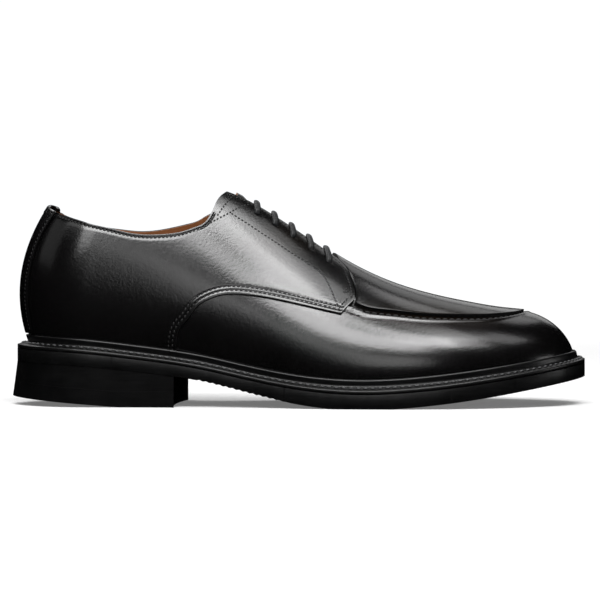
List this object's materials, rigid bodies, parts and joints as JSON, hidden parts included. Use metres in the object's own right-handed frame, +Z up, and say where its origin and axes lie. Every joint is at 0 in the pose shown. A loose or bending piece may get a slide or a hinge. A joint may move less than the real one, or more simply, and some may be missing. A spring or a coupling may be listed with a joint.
{
  "type": "apron-toe derby shoe",
  "caption": "Right men's derby shoe in black leather with an apron toe, open-laced facings, storm welt and stacked heel, standing empty.",
  "frame": {"origin": "on the floor, under the middle of the whole shoe's box", "axes": "+X points to the toe, +Y to the inner (big toe) side and +Z up from the floor"},
  "size_m": [0.3008, 0.106, 0.1113],
  "materials": {
    "black_leather": "polished calf, satin",
    "tan_leather": "natural lining leather, matt",
    "black_welt": "waxed edge",
    "black_sole_rubber": "matt",
    "black_heel_leather": "inked and burnished stack",
    "black_lace": "waxed round cord"
  },
  "bodies": {
    "root": {"upper": "black_leather", "apron": "black_leather", "back_strip": "black_leather", "tongue": "black_leather", "insole": "tan_leather", "welt": "black_welt", "outsole": "black_sole_rubber", "heel_stack": "black_heel_leather", "top_lift": "black_sole_rubber", "lace_bar_1": "black_lace", "lace_bar_2": "black_lace", "lace_bar_3": "black_lace", "lace_bar_4": "black_lace", "lace_bar_5": "black_lace"}
  },
  "joints": []
}
